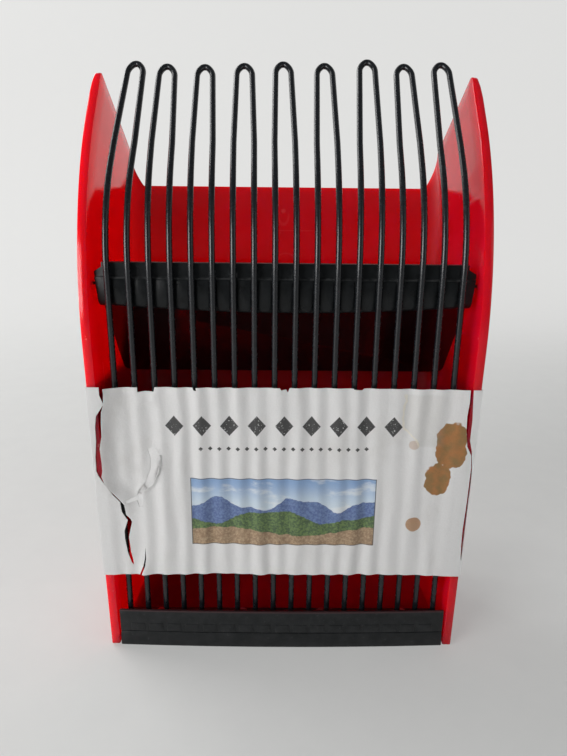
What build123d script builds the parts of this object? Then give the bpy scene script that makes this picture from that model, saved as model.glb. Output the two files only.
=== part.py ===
from build123d import *
import os
from math import cos, radians, sin, sqrt, tan

# Berry picker: a moulded scoop whose floor is a comb of wire tines, with a flap that keeps the berries in.
# It stands on its back end with the tines up. Millimetres, +Z along the tines, +Y from the tines to the roof,
# origin in the middle of the resting face. Side profiles are drawn as (depth behind the rims, height).

# Scoop body: two side walls, roof and back end in one moulding
WIDTH = 138.3           # across the outsides of the rims, at the back end
FLARE = 0.8             # degrees that each rim leans out on its way to the tip
ROOF_WIDTH = 133.1      # across the outsides of the side walls at the roof, at the back end
ROOF_FLARE = 0.6        # degrees that each of them leans out along the roof
DEPTH = 57.0            # from the rims to the outside of the roof
WALL = 3.4
RIM_BEND_HEIGHT = 123.5     # where the rims start to bend back
RIM_BEND_RADIUS = 122.5
RIM_ANGLE = 40.0
ROOF_BEND_HEIGHT = 147.0
ROOF_BEND_RADIUS = 37.0
ROOF_ANGLE = 37.0
MOUTH_HEIGHT = 179.5    # front edge of the roof
MOUTH_WIDTH = 122.0     # length of that edge, up to the sides that run from it to the side walls
MOUTH_CORNER = 4.0
MOUTH_LAND = 0.6        # what those sides leave of the roof beside each side wall
SHOULDER_HEIGHT = 190.0
TIP_HEIGHT = 219.0
TIP_ROUND = 1.5
BASE_CORNER = 3.0       # back end to roof, outside, bevelled
ROOF_CORNER = 8.4       # side walls to roof, outside

# Wire tines: one hairpin each, with its sideways set and its extra reach
WIRE = 2.2
TINE_SET = (
    (2.0, -0.3), (-0.9, -1.5), (-1.4, -1.6), (-1.3, -0.8), (-1.4, 0.1), (-0.5, -0.5), (1.0, 1.6), (0.1, -0.5), (-0.4, 0.5)
)
TINE_INSET = 4.1        # wire centres behind the rims
EDGE_GAP = 4.15         # outermost wire centres to the side walls, at the back end
TINE_BEND_HEIGHT = 148.0    # where the wires start to bend back
TINE_BEND_RADIUS = 64.0
TINE_ANGLE = 37.0
TINE_REACH = 66.4       # from the bend's corner to the crown of the hairpin
NARROW_START = 30.0     # where the two legs start to close up, from the bend's corner
CROWN_WIDTH = 5.8       # between wire centres at the crown
CROWN_FLAT = 0.2        # straight bit of wire at the crown
NARROW_RADIUS = 60.0

# Rear channel, with the clamp strip that holds the wires in it
CHANNEL_DEPTH = 8.0
CHANNEL_LIP = -0.4      # lip behind the rims, at its ends
LIP_BOW = 1.4           # how far its middle stands out from its ends
LIP_HEIGHT = 6.2
CHANNEL_TOP = 10.8      # wall behind the wires
STRIP_TOP = 16.0
STRIP_INSET = 0.3       # strip behind the rims, at its ends
STRIP_BOW = 1.2
STRIP_EDGE = 0.9        # thickness of the strip's top edge, at its ends
STRIP_BACK = 12.2       # top of the strip behind that edge, where it slopes down to the wires' backs
STRIP_ROUND = 0.4
WIRE_FOOT = 2.2         # height of the wire ends
FLANGE_LENGTH = 10.0
FLANGE = 2.5
POST = 2.6              # posts on the strip, pressed through the channel
POST_HEIGHT = 8.6
POSTS = 4               # in every fourth gap between the wires
PAD_SIZE = (5.5, 3.4)
PAD_HEIGHT = 8.3
PAD_PROUD = 0.3
RIVET = 3.0
RIVET_HEAD = 6.0
RIVET_HEAD_HEIGHT = 1.6
RIVET_ROUND = 1.2
RIVET_SPACING = 34.0
RIVETS = 4

# Cross bar behind the tines and the flap that turns on it
BARREL_HEIGHT = 140.5   # hinge axis
BARREL_RADIUS = 2.8
LOWER_BAND = 5.9        # from the hinge axis to the ledge on the bar's front
UPPER_BAND = 6.6        # from that ledge to the bar's top
BAR_STEP = 0.6          # the lower band is prouder
BAR_PLATE = 3.2
BAR_GAP = 0.3           # between the wires and the bar
BAR_NOTCH = (2.0, 2.5)
PEG = 3.0
PEG_DROP = 7.5          # peg centres below the bar's top
BEAD = 3.4
FLAP_THICK = 1.5
FLAP_REACH = 41.5
FLAP_ANGLE = 37.0       # from the tines, at rest
FLAP_DOWN = 30.0        # swing towards the tines
FLAP_UP = 40.0          # swing towards the roof
FLAP_CORNER = 3.0
LIP_GAP = 0.2           # room beside the flap in the barrel's slot, at its narrowest
LIP_MARGIN = 8.0        # degrees that the slot opens past the flap's swing
BAR_SIDE_GAP = 0.6      # between the bar's ends and the side walls
BAR_END_WALL = 1.2

# Handle, screwed to the outside of the roof
HANDLE_WIDTH = 26.0
HANDLE_REAR = 11.0      # underside of the rear foot
HANDLE_FRONT = 143.0    # top of the front foot
REAR_FOOT = 18.0
FRONT_FOOT = 29.0
GRIP_GAP = 30.0         # finger room under the grip
GRIP_THICK = 14.5
HANDLE_LEAN = (6.0, 19.0)   # how far the rear and front legs slant
HANDLE_ROUND = 20.0
FINGER_ROUND = 12.0
HANDLE_EDGE = 5.0
SCREW = 4.0
SCREW_HEAD = 7.6
SCREW_BITE = 13.0
SCREW_SPACING = 13.0
SCREW_SLOT = (1.0, 0.9)

# Paper sleeve round the body
SLEEVE_BOTTOM = 32.7
SLEEVE_TOP = 109.6
PAPER = 0.3
PAPER_GAP = 0.05

# Fits and seats
COUNTERSINK = 90.0      # of the screw and rivet heads
HOLE_FIT = 0.05         # round a post, peg, bead or wire
END_FIT = 0.2           # at each end of a piece between the side walls

# Worked out from the sizes above
TINES = len(TINE_SET)
RIM_Y = -DEPTH / 2
SIDE = Plane(origin=(0, RIM_Y, 0), x_dir=(0, 1, 0), z_dir=(1, 0, 0))
LEG_PITCH = (WIDTH - 2 * WALL - 2 * EDGE_GAP) / (2 * TINES - 1)
RIM_CORNER = RIM_BEND_HEIGHT + RIM_BEND_RADIUS * tan(radians(RIM_ANGLE / 2))
TINE_CORNER = TINE_BEND_HEIGHT + TINE_BEND_RADIUS * tan(radians(TINE_ANGLE / 2))
ROOF_CORNER_HEIGHT = ROOF_BEND_HEIGHT + ROOF_BEND_RADIUS * tan(radians(ROOF_ANGLE / 2))
WIRE_BACK = TINE_INSET + WIRE / 2
BAR_LEDGE = BARREL_HEIGHT + LOWER_BAND
BAR_TOP = BAR_LEDGE + UPPER_BAND
PEG_HEIGHT = BAR_TOP - PEG_DROP
ROOF_INSIDE = DEPTH - WALL
FRONT_SCREW_HEIGHT = HANDLE_FRONT - FRONT_FOOT / 2
REAR_SCREW_HEIGHT = HANDLE_REAR + REAR_FOOT / 2
RIVET_DEPTH = CHANNEL_DEPTH + FLANGE_LENGTH / 2
CONE_RISE = 1 / tan(radians(COUNTERSINK / 2))
ROOM = WIDTH            # reach of a cut past the part, across it
CLEAR = DEPTH / 3       # and past its rims and ends
FLANK_PAST = (0.5, 0.2)     # share of its depth that a flank is drawn past the rim and past the roof


def rim_half(run):
    """Half the width over the rims, at a run along them from the back end."""
    return WIDTH / 2 + run * tan(radians(FLARE))


def roof_half(run):
    """Half the width over the side walls at the roof, at a run along it from the back end."""
    return ROOF_WIDTH / 2 + run * tan(radians(ROOF_FLARE))


def outer_half(depth, height):
    """Half the width over the side walls below the bend, at a depth behind the rims and a height."""
    return rim_half(height) + (roof_half(height) - rim_half(height)) * depth / DEPTH


def inner_half(depth, height):
    """Half the clear width between the side walls below the bend, at a depth behind the rims and a height."""
    return outer_half(depth, height) - WALL


def behind(depth, height, x=0.0):
    """Point at a depth behind the rims."""
    return (x, RIM_Y + depth, height)


def up_the_bend(corner, depth, height, angle):
    """Depth, at a height, of a line that leaves a vertical one at a bend's corner."""
    return depth + (height - corner) * tan(radians(angle))


def wire_back(height):
    """Depth of the back of the wires at a height, on their straight, their bend or their slope."""
    rise = max(height - TINE_BEND_HEIGHT, 0)
    bend_top = TINE_BEND_RADIUS * sin(radians(TINE_ANGLE))
    if rise > bend_top:
        centre = up_the_bend(TINE_CORNER, TINE_INSET, height, TINE_ANGLE)
        return centre + WIRE / 2 / cos(radians(TINE_ANGLE))
    run = sqrt(TINE_BEND_RADIUS**2 - rise**2)
    return TINE_INSET + TINE_BEND_RADIUS - run + WIRE / 2 * TINE_BEND_RADIUS / run


BAR_FRONT = max(wire_back(BAR_LEDGE), wire_back(BAR_TOP) - BAR_STEP) + BAR_GAP
BARREL_DEPTH = BAR_FRONT + BARREL_RADIUS


def bent_line(depth, start, radius, angle, end):
    """Points up a line that bends back, from below it to past its end: run from the back end, depth and height."""
    turn = radians(angle)
    points = [(-CLEAR, depth, -CLEAR)]
    for share in (0, 0.25, 0.5, 0.75, 1):
        swept = turn * share
        points.append((start + radius * swept, depth + radius * (1 - cos(swept)), start + radius * sin(swept)))
    run, bend_depth, bend_height = points[-1]
    slope = (end - bend_height) / cos(turn)
    for length in (slope, slope + CLEAR):
        points.append((run + length, bend_depth + length * sin(turn), bend_height + length * cos(turn)))
    return points


RIM_LINE = bent_line(0, RIM_BEND_HEIGHT, RIM_BEND_RADIUS, RIM_ANGLE, TIP_HEIGHT)
ROOF_LINE = bent_line(DEPTH, ROOF_BEND_HEIGHT, ROOF_BEND_RADIUS, ROOF_ANGLE, SHOULDER_HEIGHT)


def flank(side, grow):
    """Outside face of a side wall, straight from the rim to the roof at each place along them."""
    front, back = [], []
    for (rim_run, *rim_point), (roof_run, *roof_point) in zip(RIM_LINE, ROOF_LINE):
        rim = Vector(behind(*rim_point, side * (rim_half(rim_run) + grow)))
        roof = Vector(behind(*roof_point, side * (roof_half(roof_run) + grow)))
        front.append(rim + (rim - roof) * FLANK_PAST[0])
        back.append(roof + (roof - rim) * FLANK_PAST[1])
    return Face.make_surface_from_curves(Edge.make_spline(front), Edge.make_spline(back))


def hinge_plane(angle):
    """Side-view plane on the hinge axis, its own x turned from straight down towards the roof."""
    turn = radians(angle)
    return Plane(origin=behind(BARREL_DEPTH, BARREL_HEIGHT), x_dir=(0, sin(turn), -cos(turn)), z_dir=(1, 0, 0))


def leg_positions():
    """X of every wire leg, from left to right."""
    return [(leg - TINES + 0.5) * LEG_PITCH for leg in range(2 * TINES)]


def gap_positions():
    """X of the middle of every gap between two legs."""
    return [(gap - TINES + 1) * LEG_PITCH for gap in range(2 * TINES - 1)]


def post_positions():
    """X of the clamp strip's posts, each in a gap."""
    return gap_positions()[2::4][:POSTS]


def scoop_form(points, radii, grow, roof_round):
    """Solid with a side profile, flanks grown by a thickness and rounded edges along its roof."""
    with BuildPart() as form:
        with BuildSketch(SIDE):
            with BuildLine():
                FilletPolyline(*points, radius=radii, close=True)
            make_face()
        extrude(amount=ROOM, both=True)
        for side in (-1, 1):
            extrude(flank(side, grow), amount=ROOM, dir=(side, 0, 0), mode=Mode.SUBTRACT)
        roof_edges = [
            edge
            for edge in form.edges()
            if edge.center().Y > RIM_Y + DEPTH + grow - 0.01
            and abs(edge.center().X) > WIDTH / 4
            and abs(edge.center().Z - ROOF_BEND_HEIGHT / 2) < ROOF_BEND_HEIGHT / 4
        ]
        fillet(roof_edges, roof_round)
    return form.part


def outer_form(grow):
    """The scoop's outside as a solid block, grown by a thickness."""
    roof_corner = ROOF_CORNER_HEIGHT - grow * tan(radians(ROOF_ANGLE / 2))
    shoulder = (up_the_bend(roof_corner, DEPTH + grow, SHOULDER_HEIGHT, ROOF_ANGLE), SHOULDER_HEIGHT)
    tip = (up_the_bend(RIM_CORNER, -grow, TIP_HEIGHT, RIM_ANGLE), TIP_HEIGHT)
    points = [
        (-grow, -grow),
        (-grow, RIM_CORNER),
        tip,
        shoulder,
        (DEPTH + grow, roof_corner),
        (DEPTH + grow, BASE_CORNER),
        (DEPTH - BASE_CORNER, -grow),
    ]
    radii = [0, RIM_BEND_RADIUS, TIP_ROUND, 0, ROOF_BEND_RADIUS, 0, 0]
    return scoop_form(points, radii, grow, ROOF_CORNER + grow)


def scoop_cavity():
    """The room inside the scoop, open at the tines and at the mouth, with a step for the rear channel."""
    roof_corner = ROOF_CORNER_HEIGHT + WALL * tan(radians(ROOF_ANGLE / 2))
    top = TIP_HEIGHT + CLEAR
    points = [
        (-CLEAR, -CLEAR),
        (CHANNEL_DEPTH, -CLEAR),
        (CHANNEL_DEPTH, WALL),
        (ROOF_INSIDE, WALL),
        (ROOF_INSIDE, roof_corner),
        (up_the_bend(roof_corner, ROOF_INSIDE, top, ROOF_ANGLE), top),
        (-CLEAR, top),
    ]
    radii = [0, 0, 0, 0, ROOF_BEND_RADIUS + WALL, 0, 0]
    return scoop_form(points, radii, -WALL, ROOF_CORNER - WALL)


# Body shell, with the holes for the bar's pegs, the handle's screws and the channel's rivets
with BuildPart() as body_shell:
    add(outer_form(0))
    add(scoop_cavity(), mode=Mode.SUBTRACT)
    shoulder_half = roof_half(ROOF_LINE[-2][0]) - WALL - MOUTH_LAND
    shoulder_rise = SHOULDER_HEIGHT - MOUTH_HEIGHT
    with BuildSketch(Plane(origin=behind(ROOF_INSIDE - ROOF_CORNER, MOUTH_HEIGHT), x_dir=(1, 0, 0), z_dir=(0, -1, 0))):
        with BuildLine():
            FilletPolyline(
                (-shoulder_half, ROOM),
                (-shoulder_half, shoulder_rise),
                (-MOUTH_WIDTH / 2, 0),
                (MOUTH_WIDTH / 2, 0),
                (shoulder_half, shoulder_rise),
                (shoulder_half, ROOM),
                radius=[0, 0, MOUTH_CORNER, MOUTH_CORNER, 0, 0],
                close=True,
            )
        make_face()
    extrude(amount=-ROOM, mode=Mode.SUBTRACT)
    with BuildSketch(Plane(origin=behind(BARREL_DEPTH, PEG_HEIGHT), x_dir=(0, 1, 0), z_dir=(1, 0, 0))):
        Circle(PEG / 2 + HOLE_FIT)
    extrude(amount=WIDTH, both=True, mode=Mode.SUBTRACT)
    for height in (REAR_SCREW_HEIGHT, FRONT_SCREW_HEIGHT):
        inside = Plane(origin=behind(ROOF_INSIDE, height), x_dir=(1, 0, 0), z_dir=(0, -1, 0))
        with Locations(inside):
            with GridLocations(SCREW_SPACING, 0, 2, 1):
                CounterSinkHole(SCREW / 2 + HOLE_FIT, SCREW_HEAD / 2 + HOLE_FIT, 2 * WALL, COUNTERSINK)
    underside = Plane(origin=behind(RIVET_DEPTH, 0), x_dir=(1, 0, 0), z_dir=(0, 0, -1))
    with Locations(underside):
        with GridLocations(RIVET_SPACING, 0, RIVETS, 1):
            CounterSinkHole(RIVET / 2 + HOLE_FIT, RIVET_HEAD / 2 + HOLE_FIT, 2 * WALL, COUNTERSINK)
body_shell.part.label = "body_shell"


# Wire tines: straight behind the rims, bent back with them, then closed into a hairpin crown
def tine_path(centre, lean, extra):
    """Corner points of one hairpin, from the foot of its left leg to the foot of its right leg."""
    reach = TINE_REACH + extra
    bend = radians(TINE_ANGLE)

    def on_bend(along, x):
        sideways = lean * along / reach
        return behind(TINE_INSET + along * sin(bend), TINE_CORNER + along * cos(bend), centre + x + sideways)

    def leg(side):
        x = side * LEG_PITCH / 2
        return [
            behind(TINE_INSET, WIRE_FOOT, centre + x),
            behind(TINE_INSET, TINE_CORNER, centre + x),
            on_bend(NARROW_START, x),
            on_bend(reach, side * CROWN_WIDTH / 2),
        ]

    return leg(-1) + leg(1)[::-1]


def make_tine(centre, lean, extra):
    """One hairpin of round wire."""
    leg_radii = [TINE_BEND_RADIUS, NARROW_RADIUS, (CROWN_WIDTH - CROWN_FLAT) / 2]
    with BuildPart() as tine:
        with BuildLine() as path:
            FilletPolyline(*tine_path(centre, lean, extra), radius=leg_radii + leg_radii[::-1])
        with BuildSketch(Plane(origin=path.line @ 0, z_dir=path.line % 0)):
            Circle(WIRE / 2)
        sweep()
    return tine.part


tines = []
for index, (lean, extra) in enumerate(TINE_SET):
    tine = make_tine((index - (TINES - 1) / 2) * 2 * LEG_PITCH, lean, extra)
    tine.label = f"tine_{index + 1}"
    tines.append(tine)

def bowed_bar(half, front, bow, back, low, high):
    """A bar across the back end, between two depths and two heights, its front bowed out between its ends."""
    with BuildPart() as bar:
        with BuildSketch(Plane(origin=behind(0, low))):
            with BuildLine():
                ThreePointArc((-half, front), (0, front - bow), (half, front))
                Polyline((half, front), (half, back), (-half, back), (-half, front))
            make_face()
        extrude(amount=high - low)
    return bar.part


# Rear channel: a lip in front, a wall behind the wires and a flange riveted to the back end
channel_half = inner_half(CHANNEL_DEPTH, 0) - END_FIT
flange_half = inner_half(CHANNEL_DEPTH + FLANGE_LENGTH, WALL) - END_FIT
with BuildPart() as rear_channel:
    add(bowed_bar(channel_half, CHANNEL_LIP, LIP_BOW, CHANNEL_DEPTH, 0, LIP_HEIGHT))
    with BuildSketch(SIDE):
        with Locations((WIRE_BACK, LIP_HEIGHT)):
            Rectangle(CHANNEL_DEPTH - WIRE_BACK, CHANNEL_TOP - LIP_HEIGHT, align=Align.MIN)
    extrude(amount=channel_half, both=True)
    with BuildSketch(SIDE):
        with Locations((CHANNEL_DEPTH, WALL)):
            Rectangle(FLANGE_LENGTH, FLANGE, align=Align.MIN)
    extrude(amount=flange_half, both=True)
    with Locations(Plane(origin=behind(TINE_INSET, LIP_HEIGHT))):
        with Locations(*[(x, 0) for x in leg_positions()]):
            Hole(WIRE / 2 + HOLE_FIT, depth=LIP_HEIGHT - WIRE_FOOT)
    with Locations(Plane(origin=behind(WIRE_BACK, POST_HEIGHT), x_dir=(1, 0, 0), z_dir=(0, -1, 0))):
        with Locations(*[(x, 0) for x in post_positions()]):
            Hole(POST / 2 + HOLE_FIT, depth=2 * CHANNEL_DEPTH)
    with Locations(Plane(origin=behind(RIVET_DEPTH, WALL + FLANGE))):
        with GridLocations(RIVET_SPACING, 0, RIVETS, 1):
            Hole(RIVET / 2 + HOLE_FIT, depth=FLANGE)
rear_channel.part.label = "rear_channel"

# Clamp strip: slotted over the wires, with posts through the channel and a row of small pads
strip_height = STRIP_TOP - LIP_HEIGHT
with BuildPart() as rear_clamp_strip:
    add(bowed_bar(channel_half, STRIP_INSET, STRIP_BOW, WIRE_BACK, LIP_HEIGHT, STRIP_TOP))
    fillet(rear_clamp_strip.edges().filter_by(GeomType.CIRCLE).sort_by(Axis.Z)[-1], STRIP_ROUND)
    with BuildSketch(SIDE):
        with BuildLine():
            Polyline(
                (STRIP_INSET + STRIP_EDGE, STRIP_TOP),
                (WIRE_BACK, STRIP_BACK),
                (WIRE_BACK, STRIP_TOP),
                close=True,
            )
        make_face()
    extrude(amount=ROOM, both=True, mode=Mode.SUBTRACT)
    with BuildSketch(Plane(origin=behind(TINE_INSET, LIP_HEIGHT))):
        with Locations(*[(x, 0) for x in leg_positions()]):
            Circle(WIRE / 2 + HOLE_FIT)
        with Locations(*[(x, WIRE / 2) for x in leg_positions()]):
            Rectangle(WIRE + 2 * HOLE_FIT, WIRE)
    extrude(amount=strip_height, mode=Mode.SUBTRACT)
    with BuildSketch(Plane(origin=behind(WIRE_BACK, POST_HEIGHT), x_dir=(1, 0, 0), z_dir=(0, -1, 0))):
        with Locations(*[(x, 0) for x in post_positions()]):
            Circle(POST / 2)
    extrude(amount=WIRE_BACK - CHANNEL_DEPTH)
    pad_front, pad_back = STRIP_INSET - PAD_PROUD, STRIP_INSET + STRIP_EDGE
    pad_low, pad_high = PAD_HEIGHT - PAD_SIZE[1] / 2, PAD_HEIGHT + PAD_SIZE[1] / 2
    with BuildPart(mode=Mode.PRIVATE) as pads:
        add(bowed_bar(channel_half, pad_front, STRIP_BOW, pad_back, pad_low, pad_high))
        with BuildSketch(Plane(origin=behind(0, pad_low))):
            with Locations(*[(x, 0) for x in gap_positions()]):
                Rectangle(PAD_SIZE[0], ROOM)
        extrude(amount=PAD_SIZE[1], mode=Mode.INTERSECT)
    add(pads.part)
rear_clamp_strip.part.label = "rear_clamp_strip"

# Rivets: domed head on the flange, flush countersunk foot in the resting face
upright = (Align.CENTER, Align.CENTER, Align.MIN)
with BuildPart() as channel_rivets:
    with Locations(Plane(origin=behind(RIVET_DEPTH, 0))):
        with GridLocations(RIVET_SPACING, 0, RIVETS, 1):
            Cone(RIVET_HEAD / 2, RIVET / 2, (RIVET_HEAD - RIVET) / 2 * CONE_RISE, align=upright)
            Cylinder(RIVET / 2, WALL + FLANGE, align=upright)
    with Locations(Plane(origin=behind(RIVET_DEPTH, WALL + FLANGE))):
        with GridLocations(RIVET_SPACING, 0, RIVETS, 1):
            Cylinder(RIVET_HEAD / 2, RIVET_HEAD_HEIGHT, align=upright)
    fillet(channel_rivets.edges().group_by(Axis.Z)[-1], RIVET_ROUND)
channel_rivets.part.label = "channel_rivets"

# Cross bar: two bands with a ledge between them, a barrel for the flap along its lower edge, pegs in the walls
bar_half = inner_half(BARREL_DEPTH + BARREL_RADIUS, BARREL_HEIGHT - BARREL_RADIUS) - BAR_SIDE_GAP
throat = FLAP_THICK / 2 + LIP_GAP
slot_reach = 2 * BARREL_RADIUS
slot_spread = slot_reach * tan(radians(LIP_MARGIN + (FLAP_UP + FLAP_DOWN) / 2))
with BuildPart() as flap_bar:
    with BuildSketch(SIDE):
        with BuildLine():
            Polyline(
                (BAR_FRONT, BARREL_HEIGHT),
                (BAR_FRONT, BAR_LEDGE),
                (BAR_FRONT + BAR_STEP, BAR_LEDGE),
                (BAR_FRONT + BAR_STEP, BAR_TOP),
                (BAR_FRONT + BAR_STEP + BAR_PLATE, BAR_TOP),
                (BAR_FRONT + BAR_STEP + BAR_PLATE, BARREL_HEIGHT),
                close=True,
            )
        make_face()
        with Locations((BARREL_DEPTH, BARREL_HEIGHT)):
            Circle(BARREL_RADIUS)
    extrude(amount=bar_half, both=True)
    with BuildSketch(hinge_plane(FLAP_ANGLE + (FLAP_UP - FLAP_DOWN) / 2)):
        Circle(BEAD / 2 + HOLE_FIT)
        with BuildLine():
            Polyline(
                (0, -throat),
                (slot_reach, -throat - slot_spread),
                (slot_reach, throat + slot_spread),
                (0, throat),
                close=True,
            )
        make_face()
    extrude(amount=bar_half - BAR_END_WALL, both=True, mode=Mode.SUBTRACT)
    with BuildSketch(Plane(origin=behind(BARREL_DEPTH, BAR_TOP), x_dir=(1, 0, 0), z_dir=(0, -1, 0))):
        with Locations((-bar_half, 0), (bar_half, 0)):
            Rectangle(2 * BAR_NOTCH[0], 2 * BAR_NOTCH[1])
    extrude(amount=DEPTH, both=True, mode=Mode.SUBTRACT)
    with BuildSketch(Plane(origin=behind(BARREL_DEPTH, PEG_HEIGHT), x_dir=(0, 1, 0), z_dir=(1, 0, 0))):
        Circle(PEG / 2)
    extrude(amount=outer_half(BARREL_DEPTH + PEG / 2, PEG_HEIGHT - PEG / 2) - END_FIT, both=True)
flap_bar.part.label = "flap_bar"

# Flap: a bead in the bar's barrel and a panel that slopes back from the tines
with BuildPart() as flap:
    with BuildSketch(hinge_plane(FLAP_ANGLE)):
        Circle(BEAD / 2)
    extrude(amount=bar_half - BAR_END_WALL - END_FIT, both=True)
    with BuildSketch(hinge_plane(FLAP_ANGLE)):
        with Locations((FLAP_REACH / 2, 0)):
            Rectangle(FLAP_REACH, FLAP_THICK)
    extrude(amount=bar_half - BAR_END_WALL - 2 * END_FIT, both=True)
    free_corners = flap.edges().filter_by(lambda edge: abs(edge.length - FLAP_THICK) < 0.01).sort_by(Axis.Z)[:2]
    fillet(free_corners, FLAP_CORNER)
flap.part.label = "flap"

# Handle: a rounded grip on two slanting legs, standing on the roof
with BuildPart() as handle:
    grip_in = DEPTH + GRIP_GAP
    grip_out = grip_in + GRIP_THICK
    rear_lean, front_lean = HANDLE_LEAN
    finger_rear = HANDLE_REAR + REAR_FOOT
    finger_front = HANDLE_FRONT - FRONT_FOOT
    with BuildSketch(SIDE):
        with BuildLine():
            FilletPolyline(
                (DEPTH, HANDLE_REAR),
                (grip_out, HANDLE_REAR + rear_lean),
                (grip_out, HANDLE_FRONT - front_lean),
                (DEPTH, HANDLE_FRONT),
                (DEPTH, finger_front),
                (grip_in, finger_front - front_lean / 3),
                (grip_in, finger_rear + rear_lean / 2),
                (DEPTH, finger_rear),
                radius=[0, HANDLE_ROUND, HANDLE_ROUND, 0, 0, FINGER_ROUND, FINGER_ROUND, 0],
                close=True,
            )
        make_face()
    extrude(amount=HANDLE_WIDTH / 2, both=True)
    rims = [edge for edge in handle.edges() if abs(abs(edge.center().X) - HANDLE_WIDTH / 2) < 0.01]
    fillet([edge for edge in rims if edge.center().Y > RIM_Y + DEPTH + 0.01], HANDLE_EDGE)
    for height in (REAR_SCREW_HEIGHT, FRONT_SCREW_HEIGHT):
        with Locations(Plane(origin=behind(DEPTH, height), x_dir=(1, 0, 0), z_dir=(0, -1, 0))):
            with GridLocations(SCREW_SPACING, 0, 2, 1):
                Hole(SCREW / 2, depth=SCREW_BITE)
handle.part.label = "handle"

# Handle screws: countersunk, flush with the inside of the roof, slotted
with BuildPart() as handle_screws:
    shank = (SCREW_HEAD - SCREW) / 2 * CONE_RISE
    for height in (REAR_SCREW_HEIGHT, FRONT_SCREW_HEIGHT):
        for x in (-SCREW_SPACING / 2, SCREW_SPACING / 2):
            seat = Plane(origin=behind(ROOF_INSIDE, height, x), x_dir=(1, 0, 0), z_dir=(0, 0, 1))
            with BuildSketch(seat):
                with BuildLine():
                    Polyline(
                        (0, 0),
                        (SCREW_HEAD / 2, 0),
                        (SCREW / 2, shank),
                        (SCREW / 2, WALL + SCREW_BITE),
                        (0, WALL + SCREW_BITE),
                        close=True,
                    )
                make_face()
            revolve(axis=Axis(behind(ROOF_INSIDE, height, x), (0, 1, 0)))
            with BuildSketch(Plane(origin=behind(ROOF_INSIDE, height, x), x_dir=(1, 0, 0), z_dir=(0, -1, 0))):
                Rectangle(SCREW_HEAD, SCREW_SLOT[0])
            extrude(amount=-SCREW_SLOT[1], mode=Mode.SUBTRACT)
handle_screws.part.label = "handle_screws"

# Paper sleeve: a closed band round the walls, the roof and the front of the tines
with BuildPart() as paper_sleeve:
    add(outer_form(PAPER_GAP + PAPER))
    add(outer_form(PAPER_GAP), mode=Mode.SUBTRACT)
    with BuildSketch(Plane.XY.offset(SLEEVE_BOTTOM)):
        Rectangle(3 * WIDTH, 3 * WIDTH)
    extrude(amount=SLEEVE_TOP - SLEEVE_BOTTOM, mode=Mode.INTERSECT)
paper_sleeve.part.label = "paper_sleeve"

os.makedirs("parts", exist_ok=True)
pieces = [body_shell, rear_channel, rear_clamp_strip, channel_rivets]
pieces += [flap_bar, flap, handle, handle_screws, paper_sleeve]
for piece in pieces:
    export_step(piece.part, f"parts/{piece.part.label}.step")
for tine in tines:
    export_step(tine, f"parts/{tine.label}.step")
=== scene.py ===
from math import atan2, cos, exp, pi, radians, sin, tan

import bmesh
import bpy
from mathutils import Matrix, Vector, noise


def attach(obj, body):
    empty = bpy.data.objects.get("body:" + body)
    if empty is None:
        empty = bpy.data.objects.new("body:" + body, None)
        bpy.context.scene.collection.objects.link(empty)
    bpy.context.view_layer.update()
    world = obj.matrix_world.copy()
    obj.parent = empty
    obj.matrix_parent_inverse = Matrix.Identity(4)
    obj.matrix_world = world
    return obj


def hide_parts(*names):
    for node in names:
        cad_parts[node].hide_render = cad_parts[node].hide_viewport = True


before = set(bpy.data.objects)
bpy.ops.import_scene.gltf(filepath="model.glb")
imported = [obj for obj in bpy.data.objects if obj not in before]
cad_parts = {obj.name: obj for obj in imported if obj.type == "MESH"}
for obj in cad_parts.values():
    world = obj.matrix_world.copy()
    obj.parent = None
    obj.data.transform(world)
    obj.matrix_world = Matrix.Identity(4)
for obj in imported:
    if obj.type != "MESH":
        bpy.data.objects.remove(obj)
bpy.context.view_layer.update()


# Body shell: the scoop itself, one injection moulding of glossy red plastic with two side walls, a roof and a
# back end. Everything else is fixed to it. It is worked in millimetres, as depth behind the rims and height.
RIM_Y = -28.5           # where the rims lie in the frame
HALF = 69.15            # half the width over the rims, at the back end
ROOF_HALF = 66.55       # half the width over the side walls at the roof, at the back end
FLARE = tan(radians(0.8))
ROOF_FLARE = tan(radians(0.6))
DEPTH = 57.0
WALL = 3.4
ROOF_CORNER = 8.4
BASE_CORNER = 3.0
RIM_BEND = (0.0, 123.5, 122.5, radians(40))         # where it starts, as depth and height, radius and angle
ROOF_BEND = (DEPTH, 147.0, 37.0, radians(37))
RIM_SLOPE = 22.3        # straight run past the bend
ROOF_SLOPE = 26.0
MOUTH_HEIGHT = 179.5    # front edge of the roof
SPLAY_RUN = 50.0        # run from the roof's bend, over which it spreads and moves to the left
SPLAY = 0.018
SPLAY_SHIFT = 0.6
TIP_HEIGHT = 218.0      # above it there are only the edges at the tips
TIP_ROUND = 1.6
TIP_TURN = 214.0        # where the outer corners of the tips start to turn in
TIP_RUN = 5.0
TIP_PULL = 0.017
TIP_OUTSIDE = 70.6
WALL_STEPS = 6
CORNER_STEPS = 10
BEND_STEPS = 24
SLOPE_STEPS = 4
CHANNEL_DEPTH = 8.0
RECESS_TOP = 7.0
OUTSIDE = 9.0           # how far in front and below a cut starts
BEYOND = 90.0           # half the length of a cut right across
PLAY = 0.05             # what a hole has over what sits in it
PEG = (8.3, 145.5)
PEG_RADIUS = 0.55
SCREW_PLACES = [(x, height) for height in (20.0, 128.5) for x in (-6.5, 6.5)]
SCREW_HOLE = 2.05
SCREW_SINK = (4.35, 1.8)        # radius and depth of the countersink
RIVET_PLACES = (-51.0, -17.0, 17.0, 51.0)
RIVET_DEPTH = 13.0
RIVET_HOLE = 1.55
RIVET_SINK = (3.55, 1.5)


def outer_half(share, rim_run, roof_run):
    """Half the outer width, a share of the way from rim to roof, at runs along each from the back end."""
    return (HALF + FLARE * rim_run) * (1 - share) + (ROOF_HALF + ROOF_FLARE * roof_run) * share


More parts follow.
